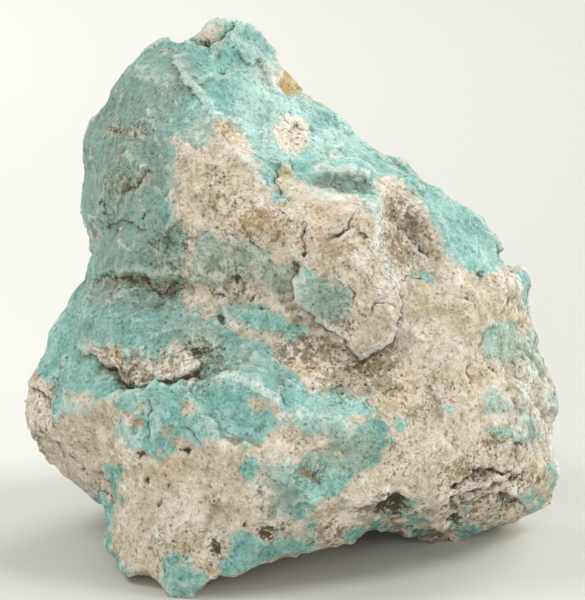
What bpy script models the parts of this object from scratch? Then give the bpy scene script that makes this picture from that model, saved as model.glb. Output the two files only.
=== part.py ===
"""Raw turquoise nugget: one broken lump of pale matrix rock with turquoise skins, about 96 x 78 x 91 mm.

The stone formed and broke as one piece, so it is one solid. It is built the way a stone is surveyed: break
lines and spot depths are sighted on its broad broken face and on its back, each side is triangulated
between them, and the closed shell is leaned back to the way the stone rests on its three low points.
"""

import math

import bmesh
import bpy
from mathutils import Matrix, Vector, noise
from mathutils.geometry import delaunay_2d_cdt

MM = 0.001

# The survey: (across, up, out) in millimetres. Across and up are read on an upright plane through the
# stone's middle, from a station in front of it. Out is how far the point stands in front of that plane.
STATION = 900.0  # from the survey plane to the station
AIM_UP = 52.2  # height on the plane of the station's level sight line
LEAN = math.radians(15.0)  # how far the survey's upright leans back when the stone rests

# Behind the rim the stone first falls back steeply, by a wall this high, drawn in by this share.
WALL = 8.0
WALL_DRAWN_IN = 0.05
MIDDLE = (2.0, 52.0)  # across and up of the stone's middle

# How the surveyed facets become broken rock.
VOXEL = 1.1 * MM
EASING_PASSES = 4
HUMP_SIZE = 12.0 * MM
HUMP_HEIGHT = 0.7 * MM
CHIP_SIZE = 4.5 * MM
CHIP_HEIGHT = 0.45 * MM
REST_LEVEL = 7.0 * MM  # the three low points are worn flat at this height of the leaned survey
TRIANGLES = 7600
WELD = 0.01 * MM

# The stone's rim, clockwise from the summit as the station sees it.
RIM = (
    # the summit and the long upper right edge
    (-13, 103.2, -3), (-9, 102.3, -5), (-5, 100.5, -8), (-3.3, 96.5, -10), (0, 92.7, -12), (1.3, 90, -12),
    (4.5, 89, -13), (7, 86.8, -12), (9.5, 85, -13), (11, 82, -12), (14.5, 79.3, -13), (19, 77, -14),
    (22, 75.3, -13), (24.5, 73.2, -13), (27, 72.8, -13), (28.2, 70.8, -11), (31.5, 68.4, -10),
    (34.5, 67.7, -9), (36.2, 65, -7), (37.3, 62.5, -5), (37, 61, -5), (38.4, 58.7, -5),
    # the knobbly right side
    (41.2, 57.2, -8), (42.8, 54.8, -10), (42.2, 52, -13), (43, 48.5, -14), (44.6, 44.5, -15),
    (45.4, 41, -14), (46.6, 38, -13), (47.7, 33.5, -12), (47, 29, -10), (46.6, 24.5, -8),
    (48.2, 20.3, -7), (47.4, 18, -8), (44.8, 15, -10), (41.2, 13.7, -9), (39.7, 11.7, -10), (35, 9.9, -9),
    # the underside, from the right foot to the front foot
    (31.5, 8.6, -9), (27, 9.2, -5), (22, 9.5, 0), (18, 10.3, 4), (15, 10.2, 8), (11.5, 7.9, 14),
    (8, 7.3, 18), (4, 6.7, 20), (0, 5.6, 22), (-5, 4.7, 24), (-8, 3.4, 25.5), (-10, 2, 26.5),
    (-14.5, 1.4, 27), (-16.8, -1.6, 27), (-20, -2.8, 27), (-23, -1.6, 26), (-25.5, 1.5, 23),
    (-28.7, 2.1, 21), (-30.8, 2, 18),
    # the lower left side and the left nose
    (-32.3, 4.5, 14), (-33.7, 8, 9), (-33.7, 13, 5), (-33.6, 15, 2), (-36.3, 17.5, -3), (-40.3, 19.8, -7),
    (-43.3, 23.2, -9), (-45.6, 26, -9), (-47.2, 29, -7), (-48, 33, -5), (-48.1, 36.5, -5),
    (-47.7, 38, -6), (-45.8, 39.8, -9), (-44.7, 42, -11), (-43.4, 45.6, -12), (-41.6, 48.7, -12),
    (-39.8, 52, -11), (-38.2, 54.8, -10),
    # the notch, the upper left side and the shoulder
    (-36.4, 56, -9), (-37, 58, -11), (-35.7, 60, -9), (-35.2, 63.3, -9), (-37.1, 65.6, -12),
    (-38.7, 69.5, -13), (-37.9, 73.5, -14), (-38.4, 78, -14), (-38, 82, -13), (-36.7, 84.3, -13),
    (-34.6, 86, -13), (-32.9, 88.2, -13), (-32.6, 90.5, -12), (-30.6, 93.3, -11), (-28.2, 95.3, -10),
    (-25.9, 97.1, -9), (-22.7, 99.2, -7), (-20, 98.8, -6), (-18.4, 100.3, -5), (-16.2, 100.5, -4),
    (-15.2, 102.4, -3),
)

FRONT_LINES = {
    "summit crest": (
        (-19.8, 97, -0.5), (-19.8, 93, 3.5), (-18, 89.5, 6.5), (-14.3, 85.2, 10), (-12, 80.8, 13.5),
        (-9, 78.3, 15.5), (-6, 75.3, 17), (-2.7, 70.5, 19),
    ),
    "bulge crest": (
        (0.5, 71.3, 18), (5, 70.8, 18.5), (9.5, 69.8, 18.8), (13, 68.2, 19.2), (15, 65.3, 20.5),
        (16.3, 61.5, 21.5), (17.5, 57.5, 22), (19, 54, 22.5),
    ),
    "edge of the flap": (
        (1, 57.5, 22.4), (0.4, 54, 22.2), (1.6, 50.9, 22.3), (4.5, 49, 22.7), (8, 45.8, 23.2),
        (10.3, 43, 23.5), (12.5, 41.3, 23.7), (14.7, 41.7, 23.6), (16.7, 44, 23.3), (19, 46, 22.8),
        (19.8, 49.5, 22.4),
    ),
    "under the flap": (
        (-0.6, 57.5, 20.9), (-1.1, 53.5, 20.4), (0.4, 49.7, 20.4), (3.8, 47.8, 20.7), (7.1, 44.5, 21.2),
        (9.4, 41.9, 21.5), (12.2, 39.9, 21.7), (15.3, 40.3, 21.5), (17.9, 42.9, 21), (20.4, 44.9, 20.2),
        (21.3, 49.2, 19.6), (20.7, 53.5, 19),
    ),
    "crevice lip": (
        (-12.5, 55.8, 16.8), (-17, 57, 14.6), (-20, 57, 12.8), (-25, 57.3, 11), (-30, 57.6, 8.8),
        (-34, 57.5, 3),
    ),
    "crevice": (
        (-34.5, 55.3, -1.5), (-30, 55.2, 5.6), (-25, 54.7, 8.2), (-20, 54.6, 10.3), (-16, 54.2, 13.2),
        (-12, 53.6, 16),
    ),
    "shelf over the recess": ((3.3, 75.8, 13.5), (7, 75.6, 13.5), (11, 75.1, 12.5), (14.2, 73.3, 11.5)),
    "recess": ((5, 72.6, 13.5), (9, 71.7, 12.7), (12.5, 70.5, 12.7)),
    "right hollow": (
        (16.8, 72, 10.5), (18.5, 67, 10.5), (20.3, 63, 9.8), (22.5, 60.4, 8.8), (25.3, 59.5, 9),
    ),
    "edge of the right plate": (
        (17.3, 74.5, 6), (20, 72.2, 8.3), (23, 69, 9.8), (25.3, 65.3, 10.7), (26.8, 62, 11.2),
        (28.5, 60, 10.7), (31.5, 57.9, 9), (35.5, 56.8, 5),
    ),
    "front ridge": (
        (-43.3, 30, 4), (-40, 31, 9.5), (-36, 33, 14.5), (-31, 35, 19.3), (-25.5, 35.6, 22),
        (-20, 36.7, 24), (-15, 37.7, 25.5), (-10, 38, 27), (-6, 35.5, 28.3), (-2, 32.3, 29.6),
        (2, 30.2, 30.6), (6, 29, 31), (11, 28.5, 30.3), (15.5, 28.5, 29), (19.3, 27.8, 27),
    ),
    "lower edge of the broken block": (
        (-36, 42.7, 10), (-32.3, 41, 15.2), (-30, 39.2, 17.6), (-27, 37.9, 19.7), (-22, 38.6, 22),
        (-17.7, 39.9, 22.8), (-18.3, 43, 21.3),
    ),
    "crack under the block": (
        (-36.4, 41.4, 7.6), (-32.6, 39.7, 12.5), (-30.6, 37.9, 15), (-27.2, 36.5, 17.6),
        (-22, 37.1, 20.3), (-16.7, 38.4, 22), (-16, 41.8, 18.2),
    ),
    "lower lip": (
        (-9, 9.8, 29.3), (-3, 11.3, 29.8), (3, 13.5, 29.4), (9, 15.3, 28), (15, 16.4, 26),
        (21, 17.3, 23.5),
    ),
    "under the lip": (
        (-5, 8.3, 27.5), (4, 10.5, 25), (11, 12.3, 21.5), (17, 13.7, 18.5), (22, 14.2, 18.5),
    ),
    "left wing ledge": (
        (-44, 28.5, 1), (-42.5, 26.7, 1), (-38.5, 24.3, 4.5), (-34, 20.8, 9), (-32.6, 16.8, 12),
    ),
    "under the wing": ((-43.5, 25.3, -2.5), (-39.5, 22.5, 0.5), (-35, 18.9, 4)),
    "right groove lip": ((26.5, 15.3, 17), (29, 16.7, 17.5), (33, 17.8, 16), (38, 19, 12.5), (43, 20, 7)),
    "right groove": ((28, 15.2, 14), (33, 16.2, 12.5), (38, 17, 9), (42, 17.6, 5)),
}

FRONT_SPOTS = (
    # the lit face below the summit
    (-14.8, 100.8, -0.5), (-12, 95, -0.5), (-8, 90, 1.5), (-12, 88, 5.5), (-5, 84, 6), (0, 86, -2),
    (3, 82, 1), (0, 79, 7), (6, 78, 5), (10, 78, 0), (15, 76.3, 0.5),
    # the shaded upper left face
    (-27, 93, 0), (-24, 90, 3.5), (-29, 88, 0), (-23, 84, 8), (-30, 82, 2), (-17.5, 83, 11), (-34, 78, -2),
    (-28, 78, 6.5), (-22, 78, 12), (-16, 78, 15), (-34, 72, -1.5), (-29, 73, 5.5), (-24, 72, 12),
    (-18, 72, 16.5), (-11, 73, 18.5), (-34, 67, -1.5), (-29, 66, 6.5), (-24, 66, 11), (-31, 61, 6),
    (-26, 60.5, 10), (-20.5, 60.5, 13.3),
    # the bulge
    (-18, 66, 16), (-11, 66, 20), (-4, 66, 21.5), (3, 66, 22.2), (9, 65, 23), (12.5, 64, 22.5),
    (-14, 60, 17.3), (-7, 59, 20), (0.5, 61, 22.2), (6, 60.5, 23), (11, 60, 23.8), (14.5, 60, 23.3),
    (-7, 54.5, 19), (5, 55.5, 23), (8, 54, 23.5), (13, 54, 24.2), (16.5, 54, 23.8), (8, 49, 23.3),
    (13, 49, 24.2), (17, 49, 23.8), (13, 44.8, 24),
    # the right plate
    (30, 66, 4), (27, 70, 0), (33, 62, 4), (36, 59.3, 1), (23, 73, -1),
    # the lower slope, left to right
    (-38, 50, 2), (-33, 51, 8), (-28, 50.5, 11.5), (-22, 50.5, 14),
    (-40, 44, 1.5), (-41, 38, 5), (-37, 37, 10),
    (-33, 36.5, 14.5), (-34, 46, 10), (-29, 46, 14.8), (-24, 46.5, 17.3), (-20, 47, 17.8),
    (-17.5, 49.5, 16.8), (-13, 49, 18), (-12.8, 44, 19.8), (-8.5, 48, 19.6), (-9, 43, 22.5),
    (-3.5, 47, 20.5), (-4, 42.5, 23), (-4, 38.5, 25.8), (1, 44, 22), (1, 39, 24.5), (1, 34, 28),
    (7, 39, 23.2), (7, 34, 26.8), (12, 36, 24.3), (13, 32, 27.2), (18, 37, 22.8), (18, 31.5, 25.5),
    # the front face
    (-35, 29, 10), (-30, 30, 19), (-30, 24, 20), (-27, 18, 22.5), (-30, 12, 17), (-30, 6, 18),
    (-25, 10, 24.5), (-20, 4.5, 28), (-20, 15, 27), (-20, 25, 26.5), (-12, 30, 29.5), (-12, 20, 29.3),
    (-12, 12, 29), (-5, 25, 31.3), (-4, 18, 31), (4, 24, 31.5), (4, 18, 30.8), (11, 22, 30),
    (16, 22, 27.5), (-14, 6, 28.3),
    # the pale right side
    (22.5, 56.3, 14), (26, 57, 12.5), (30, 55.5, 13), (34, 53, 11.5),
    (38, 54, 4), (23.5, 51, 18), (27, 50, 17.5),
    (33, 48, 14.5), (38, 46, 8), (24, 44, 20), (30, 42, 17.5), (34.5, 44, 12), (32, 39, 14.5),
    (26, 37, 20.5), (31.5, 35, 16), (38, 38, 10), (42.5, 40, -1),
    (36, 33, 14), (42, 33, 5), (22, 33, 23.8),
    (28, 30, 20), (35, 28, 15.5), (41, 28, 9), (24, 25, 24), (30, 24, 19), (23, 20, 23.5),
    (33, 22, 16.5), (40, 22.5, 11), (44, 23.5, 4), (30, 13.5, 11), (36, 14.5, 8), (40.5, 15.3, 0),
    (27, 12, 9), (33, 12, 4),
)

BACK_LINES = {
    "spine": (
        (-14, 96, -16), (-12.5, 88, -23), (-11, 78, -28), (-9, 66, -33.5), (-5.5, 54, -39), (-4, 44, -42),
        (-7, 34, -43.5), (-11, 26, -43),
    ),
    "slab edge": (
        (-1, 84, -25), (7, 78.5, -26), (15, 70, -28.5), (21, 60, -31), (24.5, 50, -33), (23, 41, -36.5),
        (15, 34, -39.5),
    ),
    "foot of the slab": (
        (0.5, 86.3, -21), (8.5, 81, -21.5), (17.3, 72.3, -23.5), (24, 61.5, -26), (28, 50.3, -28),
        (26.3, 39, -32.5), (17, 31.3, -37),
    ),
    "left shelf": ((-39, 47, -19), (-33, 49.5, -26.5), (-25, 48, -33.5), (-17, 46.5, -38)),
    "under the shelf": ((-39.5, 44, -16.5), (-33, 45.5, -23), (-25, 44, -30), (-17.5, 42.5, -36)),
    "low break": ((-34, 24, -25), (-26, 27, -35), (-19, 30, -40.5)),
    "right edge": ((39, 44, -25), (37, 34, -29), (33, 24, -28), (30, 17, -24)),
}

BACK_SPOTS = (
    (-22, 92, -18), (-27, 84, -21), (-31, 74, -23), (-21, 74, -27.5), (-29, 62, -28), (-19, 60, -33),
    (-29, 54, -29.5), (-18, 52, -37), (-42, 37, -17), (-31, 37, -28), (-23, 36, -34.5), (-43, 30, -14),
    (0, 74, -32), (8, 64, -35.5), (14, 52, -37.5), (8, 44, -41),
    (15, 43, -39.5), (4, 90, -17), (14, 80, -18.5),
    (27, 68, -19), (34, 58, -18.5), (34, 48, -25), (43, 36, -20), (30, 34, -33), (22, 28, -37),
    (42, 27, -18), (8, 27, -41.5), (14, 22, -39), (0, 30, -43.5),
    # the underside, arched between the three feet
    (-28, 6, 12), (-20, 6, 10), (-12, 6, 14), (-25, 12, -4), (-12, 11, -3), (0, 11, 2), (8, 12, -2),
    (18, 12, -8), (-24, 16, -20), (-8, 15, -22), (6, 15, -18),
    (20, 15, -20), (10, 18.5, -33), (24, 18, -27),
    (38, 16, -14),
    # the back foot and the right foot
    (-16, 17.3, -39), (-12.5, 18, -41), (-19, 19, -38.5), (-14, 20.5, -42.5), (29.5, 9.6, -12.5),
    (33, 10.4, -13.5),
)


def clear_scene():
    for old in list(bpy.data.objects):
        bpy.data.objects.remove(old)


def placed(across, up, out):
    """The sighted point in the survey's own upright frame, in metres."""
    nearer = 1.0 - out / STATION
    return Vector((across * nearer, -out, AIM_UP + (up - AIM_UP) * nearer)) * MM


def add_side(shell, lines, spots, faces_front):
    """Triangulates one side of the stone between the rim, its break lines and its spot depths."""
    sights = list(RIM)
    edges = [(i, (i + 1) % len(RIM)) for i in range(len(RIM))]
    for line in lines.values():
        first = len(sights)
        sights += line
        edges += [(i, i + 1) for i in range(first, first + len(line) - 1)]
    sights += spots
    flat = [Vector(sight[:2]) for sight in sights]
    rim_face = list(reversed(range(len(RIM))))
    _, _, triangles, origins, _, _ = delaunay_2d_cdt(flat, edges, [rim_face], 1, 1e-4)
    verts = [shell.verts.new(placed(*sights[origin[0]])) for origin in origins]
    for triangle in triangles:
        corners = [verts[i] for i in triangle]
        shell.faces.new(corners if faces_front else reversed(corners))


def wall_foot():
    """The line where the steep wall behind the rim ends: the rim drawn in towards the middle."""
    foot = []
    for across, up, out in RIM:
        wander = noise.noise(Vector((across, up, out)) / 9.0)
        inward = WALL_DRAWN_IN * (1.0 + 0.6 * wander)
        depth = out - WALL * (1.0 + 0.5 * wander)
        foot.append((across + (MIDDLE[0] - across) * inward, up + (MIDDLE[1] - up) * inward, depth))
    return tuple(foot)


def surveyed_shell():
    shell = bmesh.new()
    add_side(shell, FRONT_LINES, FRONT_SPOTS, True)
    add_side(shell, BACK_LINES, wall_foot() + BACK_SPOTS, False)
    bmesh.ops.remove_doubles(shell, verts=shell.verts, dist=WELD)
    bmesh.ops.recalc_face_normals(shell, faces=shell.faces)
    return shell


def eased(shell):
    """The faceted shell as one even skin, its break lines eased by a few passes, ready to be roughened."""
    mesh = bpy.data.meshes.new("survey")
    shell.to_mesh(mesh)
    shell.free()
    survey = bpy.data.objects.new("survey", mesh)
    bpy.context.scene.collection.objects.link(survey)
    remesh = survey.modifiers.new("even skin", "REMESH")
    remesh.mode = "VOXEL"
    remesh.voxel_size = VOXEL
    easing = survey.modifiers.new("easing", "SMOOTH")
    easing.factor = 0.5
    easing.iterations = EASING_PASSES
    skin = bpy.data.meshes.new_from_object(survey.evaluated_get(bpy.context.evaluated_depsgraph_get()))
    bpy.data.objects.remove(survey)
    return skin


def roughen(skin):
    """Lifts and sinks each point of the skin along its normal, by broad humps and by small chips."""
    normals = [vert.normal.copy() for vert in skin.vertices]
    for vert, normal in zip(skin.vertices, normals):
        hump = noise.noise(vert.co / HUMP_SIZE) * HUMP_HEIGHT
        chip = noise.noise(vert.co / CHIP_SIZE + Vector((7.0, 3.0, 5.0))) * CHIP_HEIGHT
        vert.co += normal * (hump + chip)


def thin(skin):
    """The same skin in larger triangles."""
    dense = bpy.data.objects.new("dense", skin)
    bpy.context.scene.collection.objects.link(dense)
    decimate = dense.modifiers.new("larger triangles", "DECIMATE")
    decimate.ratio = TRIANGLES / (2 * len(skin.polygons))
    light = bpy.data.meshes.new_from_object(dense.evaluated_get(bpy.context.evaluated_depsgraph_get()))
    bpy.data.objects.remove(dense)
    return light


def set_down(skin):
    """Leans the stone back, wears its three low points flat and puts them on the ground, centred."""
    stone = bmesh.new()
    stone.from_mesh(skin)
    bmesh.ops.triangulate(stone, faces=stone.faces)
    bmesh.ops.rotate(stone, cent=(0, 0, 0), matrix=Matrix.Rotation(-LEAN, 3, "X"), verts=stone.verts)
    everything = stone.verts[:] + stone.edges[:] + stone.faces[:]
    cut = bmesh.ops.bisect_plane(
        stone,
        geom=everything,
        dist=1e-7,
        plane_co=(0, 0, REST_LEVEL),
        plane_no=(0, 0, 1),
        clear_inner=True,
    )
    rims = [item for item in cut["geom_cut"] if isinstance(item, bmesh.types.BMEdge)]
    bmesh.ops.holes_fill(stone, edges=rims)
    bmesh.ops.triangulate(stone, faces=[face for face in stone.faces if len(face.verts) > 3])
    low = Vector(min(vert.co[axis] for vert in stone.verts) for axis in range(3))
    high = Vector(max(vert.co[axis] for vert in stone.verts) for axis in range(3))
    middle = (low + high) / 2
    bmesh.ops.translate(stone, vec=(-middle.x, -middle.y, -REST_LEVEL), verts=stone.verts)
    bmesh.ops.recalc_face_normals(stone, faces=stone.faces)
    stone.to_mesh(skin)
    stone.free()


def turquoise_in_matrix():
    """Pale blue-green turquoise over beige rock, dry and unpolished."""
    material = bpy.data.materials.new("turquoise_in_matrix")
    material.use_nodes = True
    shader = material.node_tree.nodes["Principled BSDF"]
    shader.inputs["Base Color"].default_value = (0.38, 0.55, 0.46, 1)
    shader.inputs["Roughness"].default_value = 0.75
    shader.inputs["Metallic"].default_value = 0
    return material


def main():
    clear_scene()
    skin = eased(surveyed_shell())
    roughen(skin)
    skin = thin(skin)
    set_down(skin)
    skin.name = "turquoise_nugget"
    skin.materials.append(turquoise_in_matrix())
    stone = bpy.data.objects.new("turquoise_nugget", skin)
    collection = bpy.data.collections.new("raw_turquoise_nugget")
    bpy.context.scene.collection.children.link(collection)
    collection.objects.link(stone)


main()
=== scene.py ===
import math

import bpy
import numpy as np
from mathutils import Matrix, Vector, noise


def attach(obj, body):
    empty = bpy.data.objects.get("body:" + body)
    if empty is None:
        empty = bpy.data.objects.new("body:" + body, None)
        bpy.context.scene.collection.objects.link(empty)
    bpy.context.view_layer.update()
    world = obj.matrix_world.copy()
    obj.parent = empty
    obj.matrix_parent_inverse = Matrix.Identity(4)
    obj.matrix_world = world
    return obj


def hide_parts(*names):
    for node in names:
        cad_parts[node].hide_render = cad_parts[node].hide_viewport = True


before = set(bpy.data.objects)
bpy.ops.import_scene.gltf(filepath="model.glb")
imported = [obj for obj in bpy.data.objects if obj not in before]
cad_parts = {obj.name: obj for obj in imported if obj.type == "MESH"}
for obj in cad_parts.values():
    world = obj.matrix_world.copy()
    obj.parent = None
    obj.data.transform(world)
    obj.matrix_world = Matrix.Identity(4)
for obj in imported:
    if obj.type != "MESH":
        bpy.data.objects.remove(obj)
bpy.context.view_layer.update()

# Camera: a long lens a little above the stone, looking down on it by 15 degrees. The stone's faces are
# surveyed from the same station, so its place and tilt serve the stone's sections as well.
STATION = Vector((-0.00024, -0.86895, 0.27636))
TILT = math.radians(15)
camera = bpy.data.objects.new("camera", bpy.data.cameras.new("camera"))
bpy.context.scene.collection.objects.link(camera)
camera.location = STATION
camera.rotation_euler = (math.radians(90) - TILT, 0, 0)
camera.data.sensor_width = 36
camera.data.lens = 300
camera.data.shift_x = 0.0025
bpy.context.scene.camera = camera

# The stone's body: one lump of altered, porous matrix rock with turquoise skins, broken out of its vein
# on every side. It is one solid piece, drawn out here in a fine, slightly eased surface for the chips.
FINENESS = 0.00046  # metres between the points of that surface


def modify(piece, kind, **settings):
    bpy.ops.object.select_all(action="DESELECT")
    piece.select_set(True)
    bpy.context.view_layer.objects.active = piece
    modifier = piece.modifiers.new(kind.lower(), kind)
    for name, value in settings.items():
        setattr(modifier, name, value)
    bpy.ops.object.modifier_apply(modifier=modifier.name)


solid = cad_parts["turquoise_nugget"]
stone = solid.copy()
stone.data = solid.data.copy()
stone.name = stone.data.name = "nugget"
bpy.context.scene.collection.objects.link(stone)
stone.parent = None
stone.matrix_world = Matrix.Identity(4)
bpy.ops.object.select_all(action="DESELECT")
stone.select_set(True)
bpy.context.view_layer.objects.active = stone
bpy.ops.object.mode_set(mode="EDIT")
bpy.ops.mesh.select_all(action="SELECT")
bpy.ops.mesh.remove_doubles(threshold=1e-6)
bpy.ops.object.mode_set(mode="OBJECT")
modify(stone, "REMESH", mode="VOXEL", voxel_size=FINENESS, adaptivity=0)
modify(stone, "SMOOTH", factor=0.5, iterations=3)

# Survey of the stone: every point's place as sighted from the station, so that outlines and lines can be
# given as (across, up) in millimetres on a plane through the stone, square to the line of sight.
REACH = 900  # from the station to that plane
AIM_UP = 52.2  # where the line of sight meets it, counted up from the stone's foot


def points_of(mesh):
    points = np.empty(len(mesh.vertices) * 3)
    mesh.vertices.foreach_get("co", points)
    return points.reshape(-1, 3)


def normals_of(mesh):
    normals = np.empty(len(mesh.vertices) * 3)
    mesh.vertex_normals.foreach_get("vector", normals)
    return normals.reshape(-1, 3)


def survey(points):
    """(across, up, out) in millimetres. Out is how far a point stands in front of the plane."""
    axes = np.array(Matrix.Rotation(math.radians(90) - TILT, 3, "X"))
    local = (points - np.array(STATION)) @ axes * 1000
    scale = REACH / -local[:, 2]
    return np.stack([local[:, 0] * scale, local[:, 1] * scale + AIM_UP, REACH + local[:, 2]], axis=1)


def step(low, high, values):
    """Goes smoothly from 0 at low to 1 at high. Low may be the greater of the two."""
    t = np.clip((values - low) / (high - low), 0, 1)
    return t * t * (3 - 2 * t)


def noise_at(points, size, seed=0):
    """Smooth noise from -1 to 1 at each point, its features about size millimetres across."""
    scale = 1000 / size
    return np.array([noise.noise(Vector(point) * scale + Vector((seed, seed, seed))) for point in points])


points = points_of(stone.data)
normals = normals_of(stone.data)
flat = survey(points)
toward = np.array(STATION) - points
toward /= np.linalg.norm(toward, axis=1)[:, None]
facing = (normals * toward).sum(axis=1)

# Front is 1 on faces that turn to the station and aren't far behind the plane, and seen goes on round to
# their rim. Swing and stir make the lines given on the plane wander, swing broadly and stir finely.
front = step(-24, -14, flat[:, 2]) * step(0.04, 0.28, facing)
seen = step(-24, -14, flat[:, 2]) * step(-0.3, 0, facing)
swing = np.stack([noise_at(points, 3.2, 11), noise_at(points, 3.2, 23)], axis=1)
stir = np.stack([noise_at(points, 1.1, 37), noise_at(points, 1.1, 41)], axis=1)

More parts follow.
